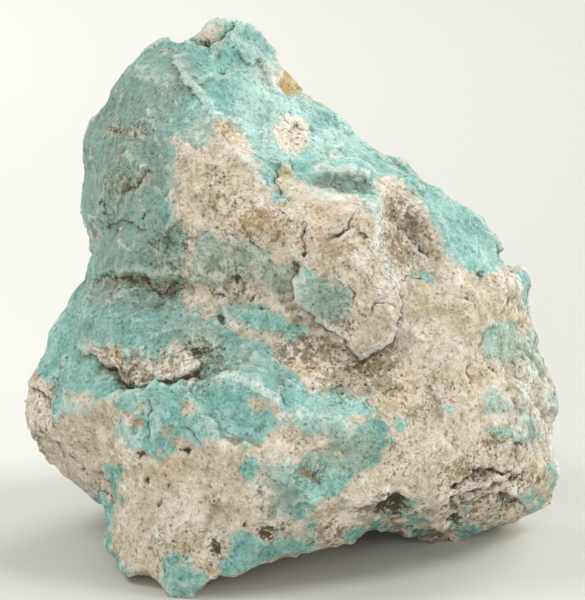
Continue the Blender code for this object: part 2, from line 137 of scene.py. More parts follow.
# The turquoise: it seeped into the rock and set as a skin a fraction of a millimetre thick, so its edges
# are ragged and bare rock shows through in windows. Behind the front it lies in patches of 2 to 20 mm.
SKINS = (
    # upper left face, summit and tongue
    ((-50, 55.8), (-36, 56), (-30, 56.5), (-24, 55.8), (-20.5, 56), (-19.3, 58), (-20, 60.5),
     (-19.5, 63), (-20.5, 66), (-21, 68.5), (-21.5, 71.5), (-21.8, 74), (-21, 76.5), (-21.3, 79),
     (-21.5, 81.5), (-20, 82.5), (-19, 81), (-17.5, 79.7), (-15.8, 80), (-14.5, 82), (-14.8, 83.8),
     (-12, 84.5), (-9.5, 83.5), (-8, 81.5), (-7.3, 79), (-6.8, 77), (-5.6, 75), (-4.4, 72.6),
     (-3, 70.4), (-1.6, 69.4), (-0.6, 69.8), (-1.8, 70.6), (-2.4, 72), (-2.6, 74), (-3, 75.6),
     (-1.2, 75.6), (-0.2, 74), (1, 72.8), (3, 71.8), (5, 71.5), (7, 71.3), (9, 70.8), (11, 70.1),
     (12.6, 69.8), (13.4, 67.5), (14.3, 66), (15, 67), (15.4, 69.5), (15, 72), (15.6, 74.5),
     (17.6, 74.7), (19, 74), (20.6, 72.7), (22, 71.2), (23.6, 69.4), (24.8, 67), (25.7, 65.2), (27, 64),
     (27.3, 62.3), (27.8, 60.6), (29.2, 59.4), (30.6, 57.7), (33, 57.2), (35, 57), (36.5, 57.6),
     (39, 57.8), (50, 58), (60, 80), (20, 120), (-30, 120), (-60, 90)),
    # lower slope, front ridge and the teeth below it
    ((-55, 55), (-38, 55.5), (-30, 55), (-24, 54), (-20.5, 54.8), (-19.5, 52.5), (-18.8, 50.3),
     (-17, 50), (-15.5, 48.8), (-13.6, 49.5), (-12, 50.5), (-10, 51.8), (-7.5, 51.5), (-5, 51),
     (-3.5, 50), (-2, 49.6), (-0.5, 48.4), (1.5, 48), (3.6, 47.2), (3.4, 45.8), (1.6, 44.2),
     (-0.2, 44.7), (-1.5, 46.2), (-3.6, 46), (-5.5, 46.5), (-7.5, 47.2), (-9.5, 48.2), (-11, 49),
     (-12, 48.4), (-10.6, 47), (-9, 46), (-7, 45), (-4.6, 44.6), (-3.4, 43.6), (-2.6, 42), (-1.6, 40.8),
     (0, 39.6), (1.2, 38.4), (2, 36.8), (4, 35.8), (5.4, 35.2), (6.6, 36), (8, 37.2), (9.2, 36),
     (10.6, 35.3), (11.7, 34), (13.6, 33.2), (14.8, 32.2), (16, 30.8), (17.4, 29), (18.2, 27.2),
     (17.2, 26), (16, 25), (16.3, 23.6), (15.8, 22.4), (14.4, 21.8), (12.8, 21.7), (11.4, 20.8),
     (10.5, 19), (9.4, 18.3), (8.4, 17), (7, 16.5), (5.4, 15.7), (4, 14.7), (3, 13.2), (1.8, 12.2),
     (0.4, 12), (-1, 13), (-2.4, 13.6), (-2.8, 15), (-2, 16.6), (-1.8, 18.2), (-2.2, 19.6),
     (-3.4, 20.8), (-3, 22), (-1.3, 22.8), (0.2, 22.4), (1.6, 22.2), (3, 23.3), (5, 23.6), (6.6, 24.4),
     (7.3, 26), (6.8, 27.6), (5, 28.1), (3, 28.6), (1, 29.3), (-0.3, 30.2), (-1.4, 29.5), (-2.6, 28.5),
     (-4.2, 27.6), (-5.6, 26.7), (-7, 26), (-9, 26.4), (-9.8, 27.1), (-11.4, 27.3), (-13.4, 27),
     (-14.6, 27.7), (-15.6, 26.4), (-17, 26), (-18.4, 26.6), (-20.4, 27.6), (-21.2, 26.6),
     (-21.6, 24.8), (-22.8, 23.9), (-24.6, 23.3), (-25.4, 24.6), (-27, 25.2), (-28.6, 25.3),
     (-29.8, 26.2), (-30.3, 27.6), (-32, 28.8), (-31.2, 30.3), (-30.7, 32.4), (-31, 34.3), (-33, 33.8),
     (-35, 33.6), (-36.6, 32.3), (-38.4, 31.7), (-41, 31), (-43, 30.6), (-43.4, 32.6), (-43, 34.6),
     (-42.8, 36.2), (-44.2, 37.8), (-46, 39.2), (-55, 40)),
    # flap, mid mix and small patches of the bulge
    ((1.2, 57), (2.2, 58.4), (3.3, 57.5), (4.7, 56.2), (6.5, 55.3), (8.8, 54.8), (10.3, 53.2),
     (10.6, 51.2), (10, 49.6), (8.8, 48.6), (6.6, 49.4), (4.2, 50.2), (2.4, 51.4), (1.3, 53),
     (0.9, 55)),
    ((-9.6, 60), (-8, 61.6), (-6.4, 61.4), (-5, 60.6), (-4.2, 59.4), (-4.5, 58), (-5.8, 57.3),
     (-7.6, 57.5), (-9.2, 58.6)),
    ((-16.6, 64), (-15, 64.6), (-14.2, 62.5), (-13.2, 60.5), (-12, 58.6), (-11, 57.4), (-12.4, 56.2),
     (-14.6, 55.2), (-16.4, 56.2), (-17.2, 58.8), (-17, 61.5)),
    ((-4.6, 57.6), (-3, 58), (-1.2, 57.2), (-0.6, 55.5), (-1.6, 54), (-3.6, 54.3), (-4.8, 55.8)),
    ((22.2, 57), (23.6, 57.4), (25, 56.7), (26.2, 56), (25.6, 55.1), (24, 55.4), (22.7, 56)),
    # left and bottom edges
    ((-33.6, 22.6), (-32.2, 23.2), (-31, 22.4), (-30.4, 21.6), (-31.2, 20.2), (-31.4, 18.4),
     (-30.8, 16.4), (-32, 16.2), (-32.6, 18), (-33.2, 20)),
    ((-36, 14.5), (-33, 14.8), (-32.2, 12), (-32.4, 9), (-31.6, 6), (-30, 4.8), (-28.6, 4),
     (-28.6, 2.4), (-31, 0), (-36, 4)),
    ((-23, 6), (-20.6, 6.6), (-18.6, 5.2), (-17.4, 4.2), (-15.6, 3.2), (-14, 1), (-17, -2), (-22, -2),
     (-23.8, 2), (-22.6, 4.4)),
    ((-12.8, 4.8), (-12, 6.8), (-10.6, 8), (-11.6, 9.6), (-9.6, 10.6), (-8, 10), (-6, 9.5), (-4, 8.8),
     (-2, 9.2), (0, 9.2), (2, 8.6), (3.6, 9.4), (3, 11.6), (4.2, 12.6), (5, 10), (4.4, 7.6), (4, 4),
     (-4, 2), (-12, 1)),
    ((-9.2, 23), (-7.6, 24.2), (-5.5, 24), (-5, 22.4), (-6, 20.4), (-7.2, 19.6), (-8.6, 20.2),
     (-9.4, 21.6)),
    ((10.4, 10.6), (12, 11.2), (14.4, 11.2), (15.6, 13.4), (16, 11), (15, 8), (10.5, 7), (9.8, 8.6)),
    ((20.4, 17), (21.8, 17.2), (22.4, 15), (22, 13), (20.6, 13.4)),
    ((20.8, 11), (21.6, 12.2), (24, 12), (24.8, 11), (24, 10.2), (22, 10.3)),
    # right side: grape-like beads and their rims
    ((36, 47), (37.6, 47.9), (39.6, 47.5), (40.6, 46), (40.9, 44), (41.3, 42.5), (40, 41.8),
     (38.5, 41.5), (37.3, 42.2), (36, 43.5), (35.2, 45.4)),
    ((40, 56.8), (41.6, 58), (45, 56), (44, 51), (42, 50.6), (41, 52), (40.4, 54.2)),
    ((41.8, 45), (43.2, 45.8), (46, 45), (46.5, 40), (44, 39.6), (42, 40.6), (41.6, 42.6)),
    ((35.6, 28.8), (37.2, 29.4), (39, 28.9), (40.6, 28.6), (42.4, 27.2), (42.8, 26), (41.2, 26),
     (39.6, 26.9), (37.6, 27.2), (36, 27.8)),
    ((34.8, 34.2), (36, 35.6), (37.8, 35), (38.4, 33.6), (37, 32.6), (35.4, 32.8)),
    ((41.6, 30.2), (42.6, 31.2), (43.8, 30.6), (43.6, 29.2), (44.8, 28.6), (44.4, 27.2), (42.6, 27.6)),
    ((45.6, 34.6), (47, 36), (50, 34), (50, 31), (46.8, 31.4)),
    ((46.2, 22.4), (50, 23), (50, 18), (46.6, 17.8), (47, 20)),
    ((40.4, 16.8), (42, 17.6), (44, 17.4), (45.6, 16.6), (46, 14.8), (43, 14), (41.8, 15.2)),
    ((29.6, 11.2), (31, 12.6), (33, 12.2), (34.8, 11), (36.8, 11.4), (38, 10.4), (36, 8), (30, 8)),
    ((26.8, 33), (27.6, 33.8), (28.8, 32.8), (28.4, 31.4), (27.4, 31.6)),
    ((18.8, 29.6), (19.6, 30.8), (20.8, 30), (20.6, 28.8), (19.6, 28.2)),
)
WINDOWS = (
    # bare rock showing through the skins
    ((-3.6, 82.2), (-3, 83.4), (-1.8, 84), (-0.9, 85), (0.2, 84.9), (1.6, 84.2), (3.1, 83.8),
     (3.2, 82.4), (2.8, 81.2), (3.2, 80.1), (2, 79.9), (1.4, 78.6), (0.2, 79), (-1, 79), (-2.4, 80.2),
     (-3, 81)),
    ((-4.6, 92.6), (-3.6, 90.6), (-1, 89.8), (0.4, 90.2), (3, 92), (0, 97), (-2.2, 95), (-3, 93.2)),
    ((-19, 100.4), (-16.2, 98.8), (-14, 98.8), (-12.6, 99.6), (-13, 100.8), (-14.6, 101.8), (-17, 103),
     (-20, 102)),
    ((-24, 96.6), (-23, 97.2), (-21.8, 97), (-21.8, 96.2), (-23.2, 95.8)),
    ((-39, 66.6), (-36.4, 65.4), (-34.8, 65), (-33.8, 64.6), (-33.7, 63), (-34.8, 61.8), (-39, 61)),
    ((-33.4, 83.4), (-32, 83.8), (-30.8, 82.8), (-31.4, 81.8), (-32.8, 82)),
    ((-29.4, 82.8), (-28, 83.4), (-26.8, 82.4), (-27, 80.8), (-28.4, 80.2), (-29.2, 81.4)),
    ((-30.4, 72.4), (-28.4, 73.6), (-27, 74.6), (-26, 76), (-25.2, 75.4), (-26.2, 73.4), (-28, 72),
     (-29.8, 71.6)),
    ((-37, 43.8), (-36, 44.4), (-34.4, 43.8), (-32, 43.6), (-30.4, 42.9), (-28.6, 41.8), (-26.6, 41.6),
     (-24.4, 41.3), (-23.2, 41), (-22.4, 42.4), (-22, 44.2), (-20.8, 45), (-19, 44.8), (-17.4, 42.8),
     (-16.2, 41.4), (-16.2, 39.4), (-17.4, 38.3), (-19.4, 37.9), (-22, 36.8), (-24.6, 37.4),
     (-27.6, 36.5), (-29.6, 37), (-31.2, 38.8), (-33.4, 40.4), (-36.2, 41.8)),
    ((-40.6, 34.6), (-39.2, 33.2), (-37, 33.1), (-35.8, 34), (-34.8, 34.8), (-36.6, 35.4),
     (-38.6, 35.2), (-40.4, 35.6)),
    ((-50, 37), (-47.6, 38.4), (-46, 38.8), (-44.4, 37.8), (-43, 36.6), (-42.8, 35), (-43.9, 34),
     (-43.6, 31), (-43, 30), (-50, 28)),
    ((-30.4, 31.2), (-28.6, 31.9), (-27.4, 31.6), (-26, 30.4), (-26.6, 29.4), (-28, 28.9),
     (-29.6, 29.5)),
    ((-27.8, 33), (-26.4, 33.5), (-25.8, 32.6), (-26.8, 32)),
    ((-24, 28.6), (-22.6, 29.2), (-21, 28.3), (-21.8, 27.6), (-23.2, 27.9)),
    ((-19.6, 33), (-18.8, 34.1), (-17.7, 33.8), (-17.3, 32.4), (-18, 31.2), (-19.2, 31.5)),
    ((-8.2, 33.8), (-6, 34.1), (-4, 33.8), (-2.6, 32.3), (-1.6, 31), (-2.6, 30.5), (-4.1, 32.1),
     (-6, 32.5), (-7.6, 32.9)),
    ((9.8, 30.4), (10.8, 31.4), (12.6, 31.2), (13.8, 30.4), (13.2, 29.4), (11.4, 29.1), (10, 29.4)),
    ((6.6, 24.2), (7.6, 25.4), (9.4, 25.6), (10.8, 24.8), (10.2, 23.6), (8.6, 23)),
    ((1, 21.6), (2.6, 22), (4.6, 21.4), (5.4, 20.2), (4, 19.4), (2, 19.8)),
)


def off_line(spots, line):
    """How far each spot is from an open line, how far along it, 0 to 1, and on which side of it."""
    line = np.array(line, float)
    lengths = np.linalg.norm(np.diff(line, axis=0), axis=1)
    best = np.full(len(spots), 1e9)
    along = np.zeros(len(spots))
    side = np.zeros(len(spots))
    run = 0.0
    for start, end, length in zip(line[:-1], line[1:], lengths):
        away = spots - start
        t = np.clip(away @ (end - start) / length**2, 0, 1)
        gap = np.linalg.norm(away - t[:, None] * (end - start), axis=1)
        nearer = gap < best
        best[nearer] = gap[nearer]
        along[nearer] = ((run + t * length) / lengths.sum())[nearer]
        turn = (end - start)[0] * away[:, 1] - (end - start)[1] * away[:, 0]
        side[nearer] = np.sign(turn)[nearer]
        run += length
    return best, along, side


def inside(spots, outline):
    """Distance in millimetres inside a closed outline, negative outside it."""
    corners = np.array(outline, float)
    gap, _, _ = off_line(spots, np.vstack([corners, corners[:1]]))
    within = np.zeros(len(spots), bool)
    for start, end in zip(corners, np.roll(corners, -1, axis=0)):
        crosses = (start[1] > spots[:, 1]) != (end[1] > spots[:, 1])
        rise = end[1] - start[1] or 1e-9
        left = spots[:, 0] < (end[0] - start[0]) * (spots[:, 1] - start[1]) / rise + start[0]
        within ^= crosses & left
    return np.where(within, gap, -gap)


# Skin is how many millimetres a point lies inside the turquoise, negative on bare rock.
spots = flat[:, :2] + 0.9 * swing + 0.5 * stir
skin = np.full(len(points), -9.0)
for outline in SKINS:
    skin = np.maximum(skin, inside(spots, outline))
for outline in WINDOWS:
    skin = np.minimum(skin, -inside(spots, outline))
elsewhere = np.zeros(len(points))
for weight, size, seed in ((9, 21, 5), (3.5, 7, 9), (1.2, 2.2, 13)):
    elsewhere += weight * noise_at(points, size, seed)
elsewhere += 0.05 * (flat[:, 1] - 62)
skin = np.clip(skin * front + elsewhere * (1 - front), -2.5, 2.5)

# The broken surface: hollowed chips of about 9, 4 and 1.8 mm that meet in sharp ridges, rougher on bare
# rock, smoother on the upper right plate and the lower right ledges, and grape-like beads down the right.
BEADED = (
    (38.5, 57.5), (43, 57), (46, 48), (52, 46), (52, 16), (46, 22), (43, 27), (40, 33), (41, 40),
    (41, 50),
)
PLATE = (32, 66)
LEDGES = (34, 17)


def facets(points, size, seed):
    """Broken faces about size millimetres across, each hollowed and tilted its own way."""
    heights = []
    for point in points:
        spot = Vector(point) * (1000 / size) + Vector((seed, 2 * seed, -seed))
        gaps, cells = noise.voronoi(spot)
        tilts = [(noise.cell_vector(cell * 9.7) - Vector((0.5, 0.5, 0.5))) * 1.6 for cell in cells]
        near_by = zip(tilts, cells, gaps)
        heights.append(min(tilt.dot(spot - cell) + 0.8 * gap**2 for tilt, cell, gap in near_by))
    return np.array(heights)


def beads(points, size, seed):
    """Round knobs about size millimetres across, 0 between them and 1 at their tops."""
    spots = [Vector(point) * (1000 / size) + Vector((seed, 0, 0)) for point in points]
    gaps = np.array([noise.voronoi(spot)[0][0] for spot in spots])
    return np.sqrt(np.clip(1 - (gaps / 0.75) ** 2, 0, 1))


knobby = step(-2, 1, inside(spots, BEADED))
rough = (1 - 0.3 * step(-0.5, 0.5, skin)) * (0.6 + 0.6 * step(-0.3, 0.4, noise_at(points, 13, 61)))
rough *= 1 - 0.6 * step(11, 7, np.linalg.norm(flat[:, :2] - PLATE, axis=1)) * front
rough *= 1 - 0.5 * step(10, 6, np.linalg.norm(flat[:, :2] - LEDGES, axis=1)) * front

# Small chips are deeper round the rim, so that the outline is toothed. Bent warps their straight edges.
rim = 1 - step(0.12, 0.5, facing)
bent = points + 0.001 * np.stack([noise_at(points, 3, seed) for seed in (31, 33, 35)], axis=1)
shift = 1.5 * facets(bent, 9, 3) + 0.85 * rough * facets(bent, 4, 17)
shift += (0.3 + 0.25 * rim) * rough * facets(bent, 1.8, 29)
shift -= shift.mean()
shift += 0.06 * noise_at(points, 0.95, 51)
knobs = 1.1 * beads(points, 3.2, 7) + 0.25 * beads(points, 1.5, 19) - 0.4
shift = shift * (1 - 0.5 * knobby) + knobby * knobs

# Breaks on the front: cracks and flake edges, raised crests, pits and shallow scoops, all in millimetres.
# A crack is (mouth, depth, drop, line), and the rock on the line's right falls away by the drop. Its
# dark line is drawn wider on the fallen side, as painted shadow below the edge.
FALL = 4  # how far from the line a fallen side is back at its height
LIP = 1.5  # and how far the raised edge beside it reaches
CRACKS = (
    # summit knob, and the edge of the bright facet below it
    (0.6, 0.8, -0.4, ((-19.8, 99.2), (-17.5, 98.6), (-15, 98.3), (-13, 98.9), (-11.4, 100.3),
     (-10.4, 101.6))),
    (0.2, 0.3, 0.45, ((-20.6, 96.5), (-20.3, 92.5), (-18.4, 89), (-15.4, 85.5))),
    # the valley on the left and the flake under it
    (1.1, 0.6, 0, ((-36.5, 56.3), (-33, 56.2), (-30.5, 55.6), (-28, 55.4), (-25.5, 54.8),
     (-23.5, 54.3), (-21.5, 54.9), (-19, 55))),
    (0.5, 0.5, 0.5, ((-20, 54.6), (-22, 53), (-24, 51.5), (-26, 50.7), (-28.5, 50), (-31, 48.5))),
    # upper left face
    (0.5, 0.8, 0.2, ((-30.2, 71.8), (-28.5, 72.6), (-27, 73.8), (-26, 75.6))),
    (0.6, 0.7, 0, ((-34.3, 70.2), (-33.4, 69), (-33.1, 66.8))),
    (0.4, 0.4, 0, ((-26.2, 63.2), (-24, 61.5), (-22.4, 60.4))),
    (0.6, 0.8, 0, ((-21.9, 59.2), (-20.2, 57.9))),
    (0.4, 0.4, 0.3, ((-33.5, 65.3), (-31.5, 66), (-30, 66.2), (-28, 65.3), (-26.5, 65.2))),
    # breaks round the tongue and on the bulge
    (0.4, 0.5, 0, ((-9, 65.3), (-8, 64.3), (-7, 63), (-6, 61.8), (-5.2, 60.8))),
    (0.5, 0.9, 0.3, ((-2.3, 75.8), (-2.4, 74), (-2.3, 72), (-2, 70.4))),
    (0.4, 0.6, 0, ((-5.1, 74.3), (-4.5, 73.7), (-3.8, 73))),
    (0.4, 0.6, 0, ((0.1, 76.7), (0.7, 75.7))),
    (0.6, 0.8, 0, ((-12.6, 82.2), (-11.5, 81.2), (-11, 80.6))),
    # folds on the bulge, its flap and the flake at its tip
    (0.8, 1.0, -1.4, ((7, 62.8), (8.5, 63.7), (10, 64.8), (11.6, 65.4))),
    (0.4, 0.5, 0, ((10.9, 67.3), (10.3, 66.2), (10.2, 65))),
    (0.5, 0.7, 0.6, ((12.4, 65.1), (13.3, 63.9), (14.1, 62.5))),
    (0.6, 0.7, 0.3, ((2.3, 65.8), (2, 63.5), (2.4, 61))),
    (1.0, 1.4, 0, ((1.6, 58.8), (0.6, 58.2), (0.2, 57))),
    (0.9, 1.2, 1.8, ((-0.1, 57), (-0.3, 55.5), (-0.1, 53.8), (0.6, 52), (1.6, 50.7), (3.2, 49.7),
     (5, 48.3), (6.4, 46.9), (7.6, 45.9), (9.2, 45))),
    (1.3, 1.8, 2.4, ((9.4, 44.8), (9.8, 43.3), (10.8, 41.9), (12.2, 41), (13, 41.3), (14.5, 41),
     (15.6, 42.2), (16.4, 43.5), (17.6, 43.9), (19, 44.9), (19.5, 46.5), (19.5, 48.5), (20, 50),
     (19.9, 51.8), (19.8, 53.5))),
    (0.4, 0.4, 0, ((10.8, 54.8), (11.3, 53.5), (11.5, 51.3))),
    (0.5, 0.5, -0.8, ((14.4, 50.6), (15, 51.8), (16.4, 52.3), (17.6, 51.7), (18.6, 50.8))),
    # right of the bulge, down to the beads
    (0.4, 0.5, 0, ((19.5, 55.7), (22, 55.9), (24, 55.5))),
    (0.4, 0.5, 0, ((23.3, 63.9), (26, 63))),
    (0.6, 0.9, -0.6, ((35, 45.6), (34.3, 44), (33.3, 42.5), (32.2, 41), (31.7, 40), (31.5, 38.8),
     (32.2, 37.5), (31.8, 36.2), (31.5, 35.2))),
    (0.5, 0.6, -0.3, ((37.3, 55.8), (38.2, 53.5), (39, 50.6))),
    # layered ledges at the lower right
    (0.6, 1.0, 1.3, ((32.6, 21.8), (34.4, 21.6), (35.9, 21.4), (37.6, 21.2), (39.2, 21.6),
     (40.2, 22.2), (40.5, 23.7), (40, 25.1))),
    (1.2, 1.7, 2.3, ((26.7, 14.4), (27.6, 15.6), (29.1, 16.4), (30.8, 16.8), (32.9, 17.5),
     (34.9, 18.1), (37, 18.7), (38.7, 19.1), (40.7, 20.3), (42.1, 21.5))),
    (0.9, 1.3, 1.7, ((31.5, 13.8), (33, 14.9), (34.6, 15.7), (36.6, 16.5), (38.7, 16.8), (40, 16.6),
     (41.4, 16.1), (42.3, 15))),
    (0.6, 0.7, 0.2, ((35, 12.5), (37, 13.4), (38.5, 14.4), (39.5, 15.3))),
    (0.6, 0.6, 0.8, ((27.5, 17.9), (29.5, 19), (31, 20.1), (32.7, 20.8), (35, 20.9))),
    # left wing
    (0.8, 1.3, 1.4, ((-46.9, 36.6), (-45.5, 35.5), (-44.5, 34.8), (-44, 33.3), (-43.7, 32),
     (-43.2, 30))),
    (0.4, 0.5, 0, ((-42, 38.7), (-42.2, 37), (-42.6, 35.6))),
    (0.7, 0.9, 0.4, ((-43.9, 26.8), (-42, 26.3), (-40.3, 25.7), (-39.2, 24.7), (-38.6, 23.8))),
    (0.6, 0.7, 0, ((-43, 26.3), (-42, 25), (-41.2, 24), (-40.5, 23))),
    (0.5, 0.7, 0.3, ((-37.6, 22), (-36, 21.2), (-34.5, 21), (-33.3, 20.2), (-32.8, 19.5))),
    (0.7, 0.9, 0.3, ((-36.6, 19), (-34.5, 18.4), (-33.4, 17.3), (-32.7, 16.4), (-32.8, 15))),
    # block on the lower slope
    (0.9, 1.2, 1.3, ((-37, 42.6), (-35, 41.2), (-33.3, 40.5), (-32, 39.8), (-31, 38.5), (-30.2, 37.3),
     (-29, 36.7), (-27.4, 36.5), (-26, 36.6))),
    (0.9, 1.0, 0.9, ((-24, 37.2), (-22, 36.9), (-20.5, 37.7), (-19, 38.4), (-17.4, 38.9),
     (-16.3, 39.2), (-16, 41))),
    # front face
    (0.6, 0.8, 0.2, ((-25, 34.2), (-25.1, 32), (-25.4, 29.5), (-25.4, 26.2))),
    (0.5, 0.7, 0, ((-18.9, 29.6), (-18, 28.3), (-16.9, 26.9))),
    (0.4, 0.4, 0, ((-2.6, 35.2), (-1.8, 34), (-1, 32.6))),
    (0.3, 0.4, 0, ((-17.2, 9.2), (-16.2, 10.1), (-15, 10.4))),
    (0.3, 0.3, 0, ((-16.5, 10.5), (-17, 9), (-18, 7.5), (-18.3, 6.7))),
)
# A crest is (height, width, line).
CRESTS = (
    (1.3, 6.0, ((-20, 97.5), (-20, 92.5), (-18, 90), (-16, 87.5), (-14.5, 85.5), (-13, 83))),
    (1.0, 4.0, ((-15.5, 81), (-12, 80.3), (-10.5, 79), (-9, 77.5), (-6, 75), (-3, 70.2), (0.5, 70.8),
     (5, 71.2), (9.5, 70.4), (12.8, 68.8), (14.8, 66), (16.4, 62), (17.8, 58), (19, 54.5))),
    (0.6, 1.6, ((3, 75.6), (5, 75.9), (8, 75.6), (11, 75.2), (13.5, 74), (14.8, 72.5))),
    (0.5, 2.0, ((-34, 57.2), (-30, 57.5), (-25, 57), (-20, 57), (-16, 57), (-12, 56))),
    (0.5, 1.8, ((-36.5, 44), (-34, 44.3), (-31, 43.6), (-28, 42.2), (-25, 41.8), (-22.8, 42.2))),
    (0.9, 4.0, ((-43, 30.5), (-40, 31.5), (-36, 33.4), (-31, 35.2), (-25.5, 36), (-20, 36.8),
     (-15, 37.6), (-10, 38), (-6, 35.8), (-2, 32.6), (2, 30.6), (6, 29.4), (11, 28.8), (15.5, 28.8),
     (19, 28))),
    (0.6, 2.0, ((17.5, 74.8), (20.4, 72.9), (23.2, 69.8), (25.4, 66), (26.9, 63.6), (27.4, 61.4),
     (29, 59.6), (31, 57.8))),
    (0.6, 1.6, ((4, 14), (9, 15.4), (15, 16.5), (21, 17.4))),
    (1.1, 1.6, ((26.2, 15.6), (28.6, 17.3), (31, 17.9), (35, 19.1), (38.6, 20.2), (41.6, 22))),
    (0.8, 1.4, ((31.5, 15), (34.4, 16.8), (38.6, 17.9), (41.8, 17))),
    (0.4, 1.5, ((-12.5, 50), (-9.5, 48), (-6.5, 46.9), (-3, 45.8), (1, 44.6))),
    (0.4, 1.6, ((-44, 28.8), (-42, 27.2), (-38.5, 25), (-34, 21.5))),
    (0.5, 2.0, ((33, 58), (36, 55.8), (38, 52), (39.6, 48.5))),
)
# Pits and scoops are (across, up, radius, depth). Pits hold dark dirt and painted shade, the largest
# under the chin's overhang, and a negative depth fills.
PITS = (
    (-16.6, 42.6, 1.4, 0.7), (-15.2, 43.2, 0.9, 0.4), (-17.8, 44.6, 0.8, 0.4), (-12.6, 48.8, 0.8, 0.9),
    (-28, 81.8, 0.9, 0.7), (-32, 82.8, 1.0, 0.6), (-16.8, 71.2, 0.6, 0.6), (-7.7, 72.2, 0.4, 0.4),
    (1.8, 64.3, 0.6, 0.6), (-1.5, 62.4, 0.7, 0.4), (2.2, 60.3, 0.8, 0.7), (23.4, 60.4, 1.2, 0.5),
    (32.5, 52.7, 0.8, 0.6), (34.3, 57.2, 1.0, 0.9), (-19.5, 25.3, 1.0, 1.0), (-19.1, 24.3, 0.9, 0.8),
    (-26.5, 24.3, 0.9, 0.7), (-25.4, 19.8, 0.8, 0.9), (-22.4, 18.3, 0.5, 0.5), (-24, 16, 0.8, 0.6),
    (-14.6, 18.8, 0.5, 0.4), (-19.5, 15.2, 0.4, 0.4), (-8.8, 11.3, 0.5, 0.5), (-13.8, 7.4, 1.8, 0.9),
    (-14.6, 4, 0.9, 0.6), (-4, 10.5, 1.6, 0.8), (28.9, 13, 1.0, 1.0), (42.2, 19.8, 1.2, 0.9),
    (18.6, 15.3, 3.0, 1.9), (16.2, 14.2, 1.6, 1.1), (-14, 49.2, 0.6, 0.5), (-12.8, 52.9, 1.0, 0.8),
    (-7.4, 52.6, 0.8, 0.7), (37.6, 26.3, 0.7, 0.6), (40.5, 26.4, 0.7, 0.6), (29.5, 18.4, 1.0, 0.9),
    (33.6, 20.4, 1.0, 0.7), (41.4, 19.6, 1.4, 0.9), (29.5, 12.8, 1.4, 1.0), (39.5, 15.7, 1.2, 0.9),
    (36.8, 39.5, 0.9, 0.7), (-27.2, 67.6, 0.6, 0.6), (-22.2, 37.2, 0.7, 0.7), (-28, 37, 1.0, 0.7),
    (-18.6, 99.2, 0.8, 0.7), (-15.4, 98.6, 0.7, 0.6), (-10, 55.5, 0.9, 0.6), (-5.5, 50.5, 0.8, 0.6),
    (-12.5, 93.3, 0.7, 0.5), (22, 13.5, 0.7, 0.6), (24, 14, 0.7, 0.6), (-26.9, 67.8, 0.5, 0.5),
)
SCOOPS = (
    (6, 73.6, 2.4, 0.8), (9.5, 73, 2.8, 1.1), (13, 72.2, 2.2, 0.9), (-24, 72, 4, 0.7), (3, 21, 3, 0.6),
    (-22, 17, 3, 0.5), (22.5, 61.5, 4, -1.2), (-33, 55, 3, 0.5), (-28, 54.5, 3.5, 0.9),
    (-23, 54, 3, 0.7),
)
spots = flat[:, :2] + 0.8 * swing + 0.55 * stir

# The crack mark is the gap to the nearest crack in widths of that crack, and near is that gap in
# millimetres. On a crack's fallen side the width is greater, so that its dark line paints shadow below
# the edge.
crack = np.full(len(points), 9.0)
near = np.full(len(points), 9.0)
pit_dirt_and_shade = np.zeros(len(points))
carved = np.zeros(len(points))
for mouth, deep, drop, line in CRACKS:
    gap, along, side = off_line(spots, line)
    taper = np.sqrt(np.clip(np.minimum(along, 1 - along) * 6, 0.04, 1))
    nearer = gap < near
    near[nearer] = gap[nearer]
    # Wider on the fallen side: painted shadow below the edge.
    wide = mouth * taper * np.where(side * drop < 0, 1 + 0.6 * abs(drop), 1)
    crack[nearer] = (gap * side / wide)[nearer]
    carved -= max(0, deep - 0.35) * taper * np.clip(1 - gap / (0.5 * mouth + 0.4), 0, 1)
    carved -= drop * taper * (side < 0) * np.clip(1 - gap / FALL, 0, 1) ** 2
    carved += 0.3 * drop * taper * (side > 0) * np.clip(1 - gap / LIP, 0, 1)
for height, width, line in CRESTS:
    gap, along, _ = off_line(spots, line)
    ease = step(-0.02, 0.15, np.minimum(along, 1 - along))
    carved += height * ease * np.clip(1 - gap / width, 0, 1)
for across, up, radius, deep in PITS + SCOOPS:
    gap = np.linalg.norm(spots - (across, up), axis=1) / radius
    carved -= deep * np.clip(1 - gap**2, 0, 1)
# Pits are painted dark: dirt, and painted shade in them and under the chin's overhang.
for across, up, radius, deep in PITS:
    gap = np.linalg.norm(spots - (across, up), axis=1) / radius
    pit_dirt_and_shade = np.maximum(pit_dirt_and_shade, step(1.3, 0.2, gap) * min(1.3, 0.5 + deep / 2))
shift += 0.2 * step(-0.25, 0.25, skin) + carved * front
points += normals * (shift / 1000)[:, None]

# Whatever is left within 0.4 mm of the ground is worn flat on it.
points[:, 2] = np.where(points[:, 2] < 0.0004, 0, points[:, 2])


def put_back(mesh, points):
    mesh.vertices.foreach_set("co", points.ravel())
    mesh.update()


put_back(stone.data, points)

# How far, in millimetres, each point of the finished surface lies below its neighbours' mean, once close
# by for nooks and edges, and once further out for hollows. The colour uses them as painted shade in nooks
# and hollows and as a painted highlight on proud edges.
ends = np.empty(len(stone.data.edges) * 2, np.int32)
stone.data.edges.foreach_get("vertices", ends)
ends = ends.reshape(-1, 2)
links = np.bincount(ends.ravel(), minlength=len(points))
mean = points.copy()
hollows = []
for passes in (5, 60):
    for _ in range(passes):
        sums = [
            np.bincount(ends[:, 0], mean[ends[:, 1], axis], len(points))
            + np.bincount(ends[:, 1], mean[ends[:, 0], axis], len(points))
            for axis in range(3)
        ]
        mean = np.stack(sums, axis=1) / links[:, None]
    hollows.append(((mean - points) * normals_of(stone.data)).sum(axis=1) * 1000)


def mark(name, values):
    stone.data.attributes.new(name, "FLOAT", "POINT").data.foreach_set("value", np.float32(values))


mark("skin", skin)
mark("crack", np.clip(crack, -4, 4))
mark("near", near * seen + 9 * (1 - seen))
mark("pit_dirt_and_shade", pit_dirt_and_shade * seen)
mark("nook", hollows[0])
mark("hollow", hollows[1])
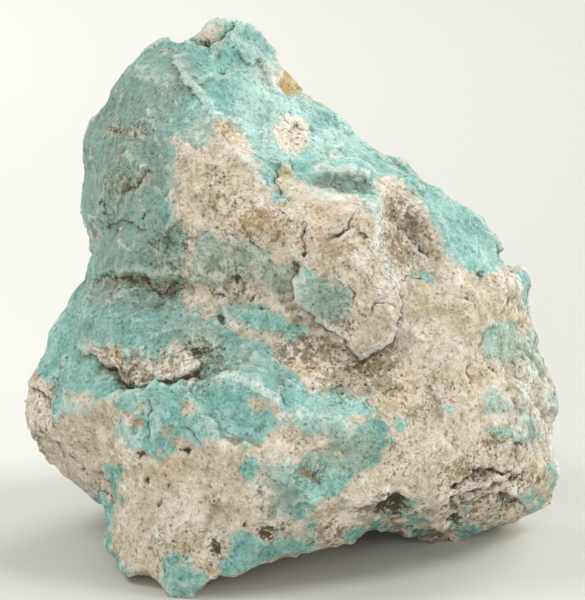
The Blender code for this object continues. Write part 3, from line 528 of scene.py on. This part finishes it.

# Stains, dust and thin places in the skin, left by iron, clay and handling, with painted shade and
# highlights among them: grime blots under ledges and overhangs and in crevices, dusty blots on shaded
# faces and some pale blots on lit crests paint light and shade. A blot is (across, up, half width, half
# height, strength). Behind the front each kind lies in patches about 14 mm across.
BLOTS = {
    # Grey dust, and painted shade on the shaded left face, on the facet left of the summit crest and
    # under the ledge over the tongue.
    "dust_and_shade": (
        (-31, 79, 12, 19, 1), (-24, 92, 8, 8, 0.8), (-20.5, 90.5, 2, 6, 1), (-28, 62, 11, 8, 0.9),
        (-17, 82, 5, 4, 0.5), (-28, 53.5, 12, 4.5, 0.9), (9, 73, 6, 2.4, 1), (-11, 59, 7, 7, 0.75),
        (-18, 46, 9, 7, 0.7), (-3, 43, 7, 4, 0.6), (6.5, 52, 6, 5, 0.8), (-3, 55.5, 5, 6, 0.45),
        (20, 66, 4, 6, 0.6), (-34, 46, 6, 5, 0.5), (10, 24, 6, 4, 0.5), (8, 26, 9, 4, 0.4),
        (-3, 16, 4, 7, 0.6), (43, 35, 6, 12, 0.6), (-9, 42, 6, 4, 0.6), (-13.8, 74.8, 1.3, 2.4, 0.8),
        (-10, 69, 1.6, 1.4, 0.8),
    ),
    "rusty": (
        (-5, 66, 7, 4, 0.9), (7, 61.8, 6, 2, 1), (-28, 81.8, 2.5, 2, 0.8), (-31, 77, 3, 4, 0.5),
        (-17.5, 62, 3, 3, 0.5), (4, 42, 6, 4, 0.7), (-21, 58.5, 2, 1.5, 0.8), (-32, 82.8, 2, 1.2, 0.8),
        (33, 18, 9, 5, 0.6), (7.5, 10.3, 4, 2.4, 0.8), (-0.3, 93, 3, 4, 1), (-14.5, 3.5, 2, 1.5, 0.8),
        (-12, 83, 4, 2, 0.6), (-34, 43, 3, 1.5, 0.7), (19, 71, 3.5, 4, 0.6), (32, 53, 2, 3, 0.5),
    ),
    "speckled": (
        (12, 37.5, 9, 4, 1), (3, 43, 7, 3.5, 0.8), (15, 41, 5, 2.5, 1), (31.5, 21, 7, 3.5, 0.9),
        (3.5, 21, 3.5, 2.2, 0.8), (20, 64, 6, 8, 0.9), (-5, 66, 8, 5, 0.5), (10, 49, 4, 4, 0.6),
        (-26, 40, 9, 4, 0.7), (22, 32, 4, 3, 0.6), (38, 26, 5, 3, 0.6), (-16, 40, 5, 5, 0.8),
        (0, 82, 4, 4, 0.35), (-12, 70, 5, 8, 0.45), (-29, 82, 5, 3, 0.6), (0, 26, 4, 2, 0.4),
        (-33, 68, 3, 5, 0.5), (-23, 61, 4, 4, 0.6), (-30, 73, 4, 3, 0.6), (34, 15.5, 9, 5, 0.6),
        (7.5, 10.3, 4, 2.4, 0.7), (-22, 8, 5, 5, 0.5), (18, 24, 6, 4, 0.3), (26, 36, 5, 4, 0.4),
        (12, 57, 5, 4, 0.3),
    ),
    # Grime, and painted shade under the chin, the lower right ledges, the block's foot, the ledge over
    # the tongue and in the crevice on the left.
    "grime_and_shade": (
        (23.5, 60.4, 2, 1.2, 0.5), (10, 73, 5, 1.8, 0.45), (-44, 31, 4, 8, 0.45), (-10, 56, 3, 3, 0.4),
        (-27, 54.6, 9, 2.2, 0.6), (-16, 43.2, 4.5, 3.5, 0.55), (-12.5, 39, 3.5, 2, 0.6),
        (17.8, 15.2, 4.6, 2.2, 1.35), (13.5, 14.2, 2.5, 1.6, 0.7), (-13.3, 7.3, 3.2, 3.2, 0.5),
        (-3.5, 10.7, 4, 1.6, 0.7), (43, 20, 3, 1.6, 0.7), (21, 10, 8, 1.5, 0.9), (-28, 58, 5, 2, 0.4),
        (30, 15.4, 3.4, 1.2, 0.8), (33.6, 16.4, 3, 1, 0.6), (38.4, 15.6, 3.4, 1.2, 0.7),
        (41.2, 19.4, 2.6, 1.6, 0.6), (33, 20.4, 3.4, 1, 0.5), (-20, 62.5, 3, 3, 0.4),
        (37, 41, 5, 2.2, 0.5), (-30, 38.6, 3.5, 1.8, 0.95), (-33.6, 41.2, 2.6, 1.6, 0.9),
        (-25, 37.6, 3.5, 1, 0.7), (-18, 38.3, 4, 1.2, 0.6), (14, 40, 5, 2, 0.6),
        (-28, 72.8, 3, 1.5, 0.4), (0.3, 58, 1.4, 1.2, 0.6), (-11.5, 53.5, 5, 2, 0.4),
        (30, 10.5, 7, 2.5, 0.4), (9, 40.5, 3, 2, 0.4),
    ),
    # Pale rock, and painted highlights on the lit front ridge.
    "pale": (
        (-3, 87, 8, 12, 1), (8, 80, 8, 4, 0.9), (18, 73, 4, 3, 0.5), (31, 67, 9, 9, 0.5),
        (-20, 12, 6, 5, 0.5), (5, 31, 9, 2.6, 0.55), (-9, 37, 6, 2.5, 0.7), (-38, 25, 6, 6, 0.6),
        (-31, 28, 4, 5, 0.6), (0.5, 82, 3.5, 3, 0.9), (29.3, 17.7, 2, 0.7, 0.9),
        (33.5, 18.7, 2.2, 0.7, 0.9), (37.6, 20, 2.2, 0.7, 0.9), (36, 17.3, 3, 0.6, 0.8),
        (25, 45, 7, 6, 0.5),
    ),
    "thin": (
        (-11, 58, 8, 8, 1), (-3, 56, 6, 6, 0.9), (6.5, 52, 6, 5, 0.5), (-20, 12, 6, 5, 0.6),
        (-3, 16, 4, 7, 0.4), (8, 25, 9, 4, 0.4), (40, 40, 6, 12, 0.7), (-16, 45, 4, 3, 0.5),
        (-26, 39.5, 9, 2.5, 0.6), (-3, 93, 4, 3, 0.4), (-16.5, 82, 3, 3, 0.5),
    ),
    "ochre": (
        (0.2, 92, 2.2, 4, 1.2), (37, 16.5, 5, 1.6, 0.4), (-5, 66, 5, 2, 0.3), (-5, 33.2, 1, 0.6, 0.5),
    ),
}
# A chalky crest or streak is (width, strength, line). Those along the crests of the summit, the tongue
# and the bulge, the front ridge, the front lip, the flap's lower edge and the left rim are painted
# highlights; the others are chalky streaks in the rock.
STREAKS = (
    (1.5, 0.9, ((-11.5, 100), (-8, 98), (-5, 96))),
    (1.0, 0.7, ((-10, 97.5), (-5, 95.5))),
    (1.0, 0.8, ((-17, 97), (-13.5, 98.5))),
    (1.2, 0.9, ((-3.5, 90.5), (-2, 89.6), (-0.5, 89.2))),
    (0.8, 0.9, ((-14.5, 85.3), (-12, 84.9), (-10, 84.5), (-9, 83.5))),
    (1.0, 1.0, ((-15.5, 80.7), (-13.5, 80.5), (-12, 80.2), (-10.5, 79), (-9, 77.5), (-7.5, 76.3),
     (-5.8, 74), (-4.4, 71.8), (-3.2, 70.2))),
    (0.9, 0.8, ((-25.5, 87), (-24.5, 83), (-23.5, 79))),
    (0.8, 0.5, ((-24, 95), (-24.3, 92), (-23, 89.5))),
    (0.8, 0.8, ((-22.5, 92), (-21.5, 89), (-20, 86.5))),
    (0.7, 0.6, ((-26, 93), (-25.5, 89.5))),
    (0.9, 0.8, ((-29.5, 80), (-28.5, 77.5), (-27, 76.3), (-25, 76))),
    (0.8, 0.6, ((-31, 82), (-30, 80.5))),
    (0.7, 0.4, ((-20, 97), (-20, 92.5), (-18, 90), (-16, 87.5), (-14.5, 85.5))),
    (0.9, 1.0, ((3.5, 75.7), (8, 75.2), (10, 75.3), (11.5, 74.8), (13.3, 74.3), (14.5, 73))),
    (1.0, 1.0, ((1.5, 72), (4, 71), (6, 70.3), (9, 70), (11, 69.8), (13, 69), (14, 67.5),
     (14.8, 66.5))),
    (2.2, 0.9, ((13, 69.5), (15, 66.5), (16, 62), (17.5, 58.5), (18.8, 54.5))),
    (1.2, 0.7, ((-12.3, 49.7), (-11, 48.5), (-9.5, 47.5), (-8, 46.8), (-6.5, 46.3), (-4.5, 45.3),
     (-2.5, 45))),
    (1.5, 1.0, ((-14.5, 37.3), (-12, 38), (-10.8, 38.2), (-9, 37.3), (-7, 36), (-5, 35), (-3.5, 34.5),
     (-2, 33), (-1.2, 31.5))),
    (2.6, 0.7, ((-1, 32.3), (3, 31.3), (6, 30.8), (8.5, 30), (10.5, 28.8))),
    (1.4, 0.8, ((-45, 41), (-43.6, 45.6), (-41.4, 49), (-39, 52))),
    (0.8, 0.8, ((16, 31), (17.5, 29.5), (19.3, 27.7))),
    (0.6, 0.6, ((-15, 30.5), (-14.5, 29), (-14.8, 27.5))),
    (0.9, 0.7, ((-37.2, 66), (-36, 64.8), (-35, 63.2))),
    (1.2, 0.6, ((42.5, 48), (43, 51))),
    (2.0, 1.0, ((40.8, 52.6), (41.2, 55.2))),
    (0.8, 0.6, ((45, 37), (45.5, 40))),
    (0.8, 0.8, ((8, 15.6), (11, 15.8), (14, 16.3), (17, 16.9), (21, 17.6))),
    (0.8, 0.7, ((11, 42.5), (13, 42.2), (15.5, 43), (17, 44.6), (18.4, 46), (18.8, 49))),
)
spots = flat[:, :2] + 0.8 * swing + 0.4 * stir
for turn, (name, blots) in enumerate(BLOTS.items()):
    somewhere = noise_at(points, 14, 77 + 10 * turn)
    amount = np.zeros(len(points))
    for across, up, wide, high, strength in blots:
        reach = np.linalg.norm((spots - (across, up)) / (wide, high), axis=1)
        amount = np.maximum(amount, strength * step(1.3, 0.5, reach))
    mark(name, amount * seen + 0.5 * step(0.1, 0.6, somewhere) * (1 - seen))
spots = flat[:, :2] + 0.3 * swing + 0.25 * stir
chalk_and_highlight = 0.55 * step(0.15, 0.6, noise_at(points, 5, 61)) * (1 - front)
chalk_and_highlight = np.maximum(chalk_and_highlight, 0.85 * knobby * step(0, 0.35, noise_at(points, 3, 63)))
# Chalk streaks, and painted highlights along lit crests and edges.
for width, strength, line in STREAKS:
    gap, along, _ = off_line(spots, line)
    ends_off = step(-0.02, 0.12, np.minimum(along, 1 - along))
    chalk_and_highlight = np.maximum(chalk_and_highlight, strength * front * step(1.3, 0.4, gap / (0.5 * width)) * ends_off)
mark("chalk_and_highlight", chalk_and_highlight)

TRIANGLES = 190000  # at most, once flat stretches are thinned out
modify(stone, "DECIMATE", ratio=min(1, TRIANGLES / (2 * len(stone.data.polygons))))
bpy.ops.object.shade_smooth()


# The stone's finish: turquoise on matrix rock, as broken. Both are dull, fine-grained and never polished,
# so they scatter light with hardly any gloss, and the eye gets grain, crumbly stains, pores and chips.
def linear(code):
    """An sRGB hex colour as linear red, green, blue and full alpha."""
    channels = [int(code[i : i + 2], 16) / 255 for i in (1, 3, 5)]
    return [c / 12.92 if c <= 0.04045 else ((c + 0.055) / 1.055) ** 2.4 for c in channels] + [1]


def add(tree, kind, inputs=(), **settings):
    """Adds a node with its settings. Each input is set to a value, or linked from a socket or a node."""
    made = tree.nodes.new(kind)
    for name, value in settings.items():
        setattr(made, name, value)
    for place, value in dict(inputs).items():
        if isinstance(value, bpy.types.Node):
            value = next(socket for socket in value.outputs if socket.enabled)
        if isinstance(value, bpy.types.NodeSocket):
            tree.links.new(value, made.inputs[place])
        else:
            made.inputs[place].default_value = value
    return made


rock = bpy.data.materials.new("turquoise on matrix rock")
rock.use_nodes = True
tree = rock.node_tree
shader = tree.nodes["Principled BSDF"]
place = add(tree, "ShaderNodeTexCoord").outputs["Object"]
marks = {}
for name in ("skin", "crack", "near", "pit_dirt_and_shade", "nook", "hollow", "chalk_and_highlight", *BLOTS):
    marks[name] = add(tree, "ShaderNodeAttribute", attribute_name=name).outputs["Fac"]

# Grain by size in millimetres: tints of colour, clouds of shade, isles of skin, crumbs and grit. Grit is
# drawn at 0.55, coarser than the rock's real grain, so that it shows.
grain = {}
for name, size, detail, roughness, distortion in (
    ("clouds", 6, 4, 0.55, 0),
    ("tints", 9, 5, 0.6, 0.4),
    ("isles", 2.2, 4, 0.6, 0),
    ("crumbs", 1.5, 4, 0.65, 0),
    ("grit", 0.55, 2, 0.6, 0),
):
    inputs = {"Vector": place, "Scale": 1000 / size, "Detail": detail, "Roughness": roughness}
    grain[name] = add(tree, "ShaderNodeTexNoise", {**inputs, "Distortion": distortion})

# Small broken faces, 2.4 to 0.55 mm across, each tilted its own way: a point's height is how far it lies
# along its cell's tilt. Their edges are bent by up to three tenths of their size.
MIDDLE = (0.5, 0.5, 0.5)
height = 0.0
for size, tilt in ((2.4, 0.6), (1.1, 0.9), (0.55, 0.9)):
    bend = grain["crumbs"].outputs["Color"]
    bend = add(tree, "ShaderNodeVectorMath", {0: bend, 1: MIDDLE}, operation="SUBTRACT")
    bend = add(tree, "ShaderNodeVectorMath", {0: bend, "Scale": size * 0.0006}, operation="SCALE")
    bent = add(tree, "ShaderNodeVectorMath", {0: place, 1: bend}, operation="ADD")
    cell = add(tree, "ShaderNodeTexVoronoi", {"Vector": bent, "Scale": 1000 / size})
    away = add(tree, "ShaderNodeVectorMath", {0: bent, 1: cell.outputs["Position"]}, operation="SUBTRACT")
    lean = add(tree, "ShaderNodeVectorMath", {0: cell.outputs["Color"], 1: MIDDLE}, operation="SUBTRACT")
    rise = add(tree, "ShaderNodeVectorMath", {0: away, 1: lean}, operation="DOT_PRODUCT")
    rise = rise.outputs["Value"]
    height = add(tree, "ShaderNodeMath", {0: rise, 1: tilt, 2: height}, operation="MULTIPLY_ADD")

# Fine threads: the thin places where a noise crosses its middle, in a white web and in dark hairs.
threads = {}
for name, size, stretch, width in (("web", 8.0, 0.3, 0.016), ("hair", 6.0, 0.8, 0.006)):
    inputs = {"Vector": place, "Rotation": (0, 0.45, 0), "Scale": (1, 1, stretch)}
    drawn = add(tree, "ShaderNodeMapping", inputs)
    inputs = {"Vector": drawn, "Scale": 1000 / size, "Detail": 3, "Roughness": 0.55, "Distortion": 0.8}
    waves = add(tree, "ShaderNodeTexNoise", inputs)
    waves = add(tree, "ShaderNodeMath", {0: waves, 1: 0.5}, operation="SUBTRACT")
    waves = add(tree, "ShaderNodeMath", {0: waves}, operation="ABSOLUTE")
    inputs = {"Value": waves, "From Min": width, "From Max": width * 0.3}
    threads[name] = add(tree, "ShaderNodeMapRange", inputs)

# How far the turquoise reaches: ragged at its edges, with islands and bare spots, crisp here and thinning
# there, and thin enough in places for the rock to show through.
ragged = add(tree, "ShaderNodeMath", {0: grain["crumbs"], 1: 1.6, 2: -1.4}, operation="MULTIPLY_ADD")
ragged = add(tree, "ShaderNodeMath", {0: grain["grit"], 1: 1.2, 2: ragged}, operation="MULTIPLY_ADD")
edge = add(tree, "ShaderNodeMath", {0: marks["thin"], 1: 1.2, 2: marks["skin"]}, operation="MULTIPLY_ADD")
edge = add(tree, "ShaderNodeMath", {0: edge, 1: ragged}, operation="ADD")
for start, full, reach in ((0.58, 0.66, 1.5), (0.42, 0.34, -1.5)):
    inputs = {"Value": grain["isles"], "From Min": start, "From Max": full, "To Max": reach}
    isle = add(tree, "ShaderNodeMapRange", inputs)
    edge = add(tree, "ShaderNodeMath", {0: edge, 1: isle}, operation="ADD")
inputs = {"Value": grain["tints"], "From Min": 0.45, "From Max": 0.6, "To Min": 0.12, "To Max": 0.7}
fade = add(tree, "ShaderNodeMapRange", inputs)
unfade = add(tree, "ShaderNodeMath", {0: fade, 1: -1.0}, operation="MULTIPLY")
skinned = add(tree, "ShaderNodeMapRange", {"Value": edge, "From Min": unfade, "From Max": fade})
thick = add(tree, "ShaderNodeMath", {0: marks["thin"], 1: -0.55, 2: 1.0}, operation="MULTIPLY_ADD")
skinned = add(tree, "ShaderNodeMath", {0: skinned, 1: thick}, operation="MULTIPLY")

# Shades of the two minerals, darker and lighter by their grain.
tone = grain["clouds"]
for name in ("crumbs", "grit"):
    tone = add(tree, "ShaderNodeMath", {0: grain[name], 1: 0.45, 2: tone}, operation="MULTIPLY_ADD")
tone = add(tree, "ShaderNodeMath", {0: tone, 1: 0.525}, operation="MULTIPLY")
SHADES = {
    "bare": ((0.4, "#C0AE8E"), (0.48, "#D6C8AE"), (0.56, "#E2D6C2"), (0.66, "#EEE6D9")),
    "blue": ((0.4, "#6BA196"), (0.48, "#82B8AD"), (0.56, "#9AC9BF"), (0.66, "#BADDD5")),
}
colours = {}
for name, stops in SHADES.items():
    shades = add(tree, "ShaderNodeValToRGB", {"Fac": tone})
    for position, code in stops:
        shades.color_ramp.elements.new(position).color = linear(code)
    shades.color_ramp.elements.remove(shades.color_ramp.elements[0])
    shades.color_ramp.elements.remove(shades.color_ramp.elements[-1])
    colours[name] = shades

# Where the coats lie: crumbly patches, tints, dark flecks, painted shade in nooks and hollows, painted
# highlights on proud edges, pores, and cracks, drawn wider as painted shadow on their fallen side. Pores
# are dark pinholes about 0.5 mm wide, in two of every five cells of a 1.3 mm pattern.
patch = {0: grain["grit"], 1: 0.6, 2: grain["crumbs"]}
patch = add(tree, "ShaderNodeMath", patch, operation="MULTIPLY_ADD")
where = {}
for name, source, start, full in (
    ("patch", patch, 0.62, 0.98),
    ("pinkish", grain["tints"], 0.52, 0.66),
    ("greyish", grain["tints"], 0.46, 0.34),
    ("flecks", grain["grit"], 0.38, 0.34),
    # painted shade where the surface lies below its neighbours
    ("nook", marks["nook"], 0.05, 0.25),
    # painted highlight where the surface stands above its neighbours
    ("edge_highlight", marks["nook"], -0.04, -0.2),
    ("hollow", marks["hollow"], 0.2, 1.6),
    ("close", marks["near"], 1.0, 0.6),
):
    inputs = {"Value": source, "From Min": start, "From Max": full}
    where[name] = add(tree, "ShaderNodeMapRange", inputs)
pores = add(tree, "ShaderNodeTexVoronoi", {"Vector": place, "Scale": 1000 / 1.3})
pore = add(tree, "ShaderNodeMapRange", {"Value": pores, "From Min": 0.24, "From Max": 0.18})
few = add(tree, "ShaderNodeSeparateColor", {0: pores.outputs["Color"]})
few = add(tree, "ShaderNodeMapRange", {"Value": few, "From Min": 0.6, "From Max": 0.64})
pore = add(tree, "ShaderNodeMath", {0: pore, 1: few}, operation="MULTIPLY")
speck = add(tree, "ShaderNodeMath", {0: marks["speckled"], 1: 0.6, 2: 0.4}, operation="MULTIPLY_ADD")
veined = add(tree, "ShaderNodeMath", {0: marks["dust_and_shade"], 1: 0.35, 2: 0.02}, operation="MULTIPLY_ADD")
# Dark crack lines, drawn wider as painted shadow on the fallen side of a crack.
crack_line_and_shadow = add(tree, "ShaderNodeMath", {0: marks["crack"]}, operation="ABSOLUTE")
crack_line_and_shadow = add(tree, "ShaderNodeMath", {0: where["patch"], 1: 0.35, 2: crack_line_and_shadow}, operation="MULTIPLY_ADD")
crack_line_and_shadow = add(tree, "ShaderNodeMapRange", {"Value": crack_line_and_shadow, "From Min": 0.5, "From Max": 0.2})
crack_line_and_shadow = add(tree, "ShaderNodeMath", {0: crack_line_and_shadow, 1: where["close"]}, operation="MULTIPLY")

# Coats over the bare rock, over the turquoise, then over both: (colour, where, crumbly, how thick). A
# crumbly coat breaks up into small patches where it thins out. Some coats are painted light: shade in
# nooks, hollows, pits, under ledges, on shaded faces and below fallen crack edges, and highlights on
# proud edges and lit crests.
COATS = {
    "bare": (
        ("#D6B9A4", where["pinkish"], False, 0.4),
        ("#B9B3A6", where["greyish"], False, 0.45),
        ("#B0865C", marks["rusty"], True, 0.45),
        # dust, and painted shade on shaded faces
        ("#8FA59A", marks["dust_and_shade"], True, 0.6),
        # pale rock, and painted highlights on the lit front ridge
        ("#F5EDDA", marks["pale"], True, 0.7),
    ),
    "blue": (
        ("#A3B8B0", where["pinkish"], False, 0.35),
        # dust, and painted shade on shaded faces
        ("#7B8273", marks["dust_and_shade"], False, 0.55),
        ("#9C7B58", marks["rusty"], True, 0.5),
        # pale rock, and painted highlights on the lit front ridge
        ("#D3E8DF", marks["pale"], True, 0.45),
        ("#CFC8B6", threads["web"], False, veined),
    ),
    "surface": (
        # chalk, and painted highlights along lit crests
        ("#DDEEE6", marks["chalk_and_highlight"], True, 0.55),
        ("#6B5A3F", where["flecks"], False, speck),
        ("#43372A", pore, False, speck),
        ("#6B5A33", marks["speckled"], True, 0.5),
        # grime, and painted shade under ledges and overhangs
        ("#625431", marks["grime_and_shade"], True, 0.7),
        # painted shade in nooks
        ("#7A6B4E", where["nook"], False, 0.4),
        # painted highlight on proud edges
        ("#F0EDE2", where["edge_highlight"], False, 0.35),
        ("#C0A25C", marks["ochre"], True, 0.8),
        # painted shade in hollows
        ("#7D6E4E", where["hollow"], False, 0.2),
        ("#5A4A32", threads["hair"], False, speck),
        # dirt, and painted shade in pits and under the chin's overhang
        ("#463D26", marks["pit_dirt_and_shade"], True, 0.85),
        # dark crack lines, and painted shadow below their fallen edges
        ("#3A301E", crack_line_and_shadow, False, 0.7),
    ),
}
for name, coats in COATS.items():
    if name == "surface":
        inputs = {0: skinned, 6: colours["bare"], 7: colours["blue"]}
        colours[name] = add(tree, "ShaderNodeMix", inputs, data_type="RGBA")
    for code, share, crumbly, amount in coats:
        if crumbly:
            share = add(tree, "ShaderNodeMath", {0: share, 1: where["patch"]}, operation="SUBTRACT")
            share = add(tree, "ShaderNodeMapRange", {"Value": share, "From Max": 0.3})
        share = add(tree, "ShaderNodeMath", {0: share, 1: amount}, operation="MULTIPLY", use_clamp=True)
        inputs = {0: share, 6: colours[name], 7: linear(code)}
        colours[name] = add(tree, "ShaderNodeMix", inputs, data_type="RGBA")
tree.links.new(colours["surface"].outputs[2], shader.inputs["Base Color"])
shader.inputs["Roughness"].default_value = 0.85
shader.inputs["IOR"].default_value = 1.5

# Grain raises the surface by fractions of a millimetre, and cracks and pores sink it.
sunk = add(tree, "ShaderNodeMath", {0: crack_line_and_shadow, 1: pore}, operation="MAXIMUM")
for amount, depth in ((grain["crumbs"], 0.0003), (grain["grit"], 0.0004), (sunk, -0.00025)):
    height = add(tree, "ShaderNodeMath", {0: amount, 1: depth, 2: height}, operation="MULTIPLY_ADD")
bump = add(tree, "ShaderNodeBump", {"Height": height, "Distance": 1.0, "Strength": 1.0})
tree.links.new(bump.outputs[0], shader.inputs["Normal"])
stone.data.materials.clear()
stone.data.materials.append(rock)
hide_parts("turquoise_nugget")
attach(stone, "root")

# Floor: a broad sheet of matt pale paper. It lies flat under the stone and curves up gently from 2 m
# away, so that no horizon shows in a low view.
bpy.ops.mesh.primitive_grid_add(x_subdivisions=80, y_subdivisions=80, size=9)
floor = bpy.context.object
floor.name = "floor"
spots = points_of(floor.data)
spots[:, 2] = 0.5 * step(2, 4.4, np.hypot(spots[:, 0], spots[:, 1]))
put_back(floor.data, spots)
bpy.ops.object.shade_smooth()
paper = bpy.data.materials.new("matt paper")
paper.use_nodes = True
paper.node_tree.nodes["Principled BSDF"].inputs["Base Color"].default_value = linear("#C2C2BB")
paper.node_tree.nodes["Principled BSDF"].inputs["Roughness"].default_value = 0.9
floor.data.materials.append(paper)


# Light: broad and soft, from a low window behind on the right, a skylight, panels at the right and at the
# front left, and two small lamps that brighten the floor on the left. Azimuth 0 is the front, 90 right.
def softbox(name, kind, azimuth, elevation, aim, distance, **settings):
    lamp = bpy.data.objects.new(name, bpy.data.lights.new(name, kind))
    bpy.context.scene.collection.objects.link(lamp)
    lamp.visible_camera = False
    for setting, value in settings.items():
        setattr(lamp.data, setting, value)
    turn, rise = math.radians(azimuth), math.radians(elevation)
    away = Vector((math.sin(turn) * math.cos(rise), -math.cos(turn) * math.cos(rise), math.sin(rise)))
    lamp.location = Vector(aim) + away * distance
    lamp.rotation_euler = away.to_track_quat("Z", "Y").to_euler()


for name, azimuth, elevation, energy, spread in (
    ("window", 147, 22, 2.4, 30),
    ("skylight", 92, 50, 1.65, 22),
    ("right panel", 58, 16, 0.75, 24),
    ("left panel", -15, 18, 1.05, 30),
):
    softbox(name, "SUN", azimuth, elevation, (0, 0, 0), 2, energy=energy, angle=math.radians(spread))
softbox("left lamp", "AREA", -95, 75, (-0.16, 0, 0), 0.3, energy=0.6, shape="DISK", size=0.16)
softbox("back lamp", "AREA", -110, 75, (-0.18, 0.42, 0), 0.3, energy=0.65, shape="DISK", size=0.16)
world = bpy.data.worlds.new("studio")
bpy.context.scene.world = world
world.use_nodes = True
world.node_tree.nodes["Background"].inputs[0].default_value = (1, 1, 1, 1)
world.node_tree.nodes["Background"].inputs[1].default_value = 0.4
bpy.context.scene.view_settings.view_transform = "Standard"
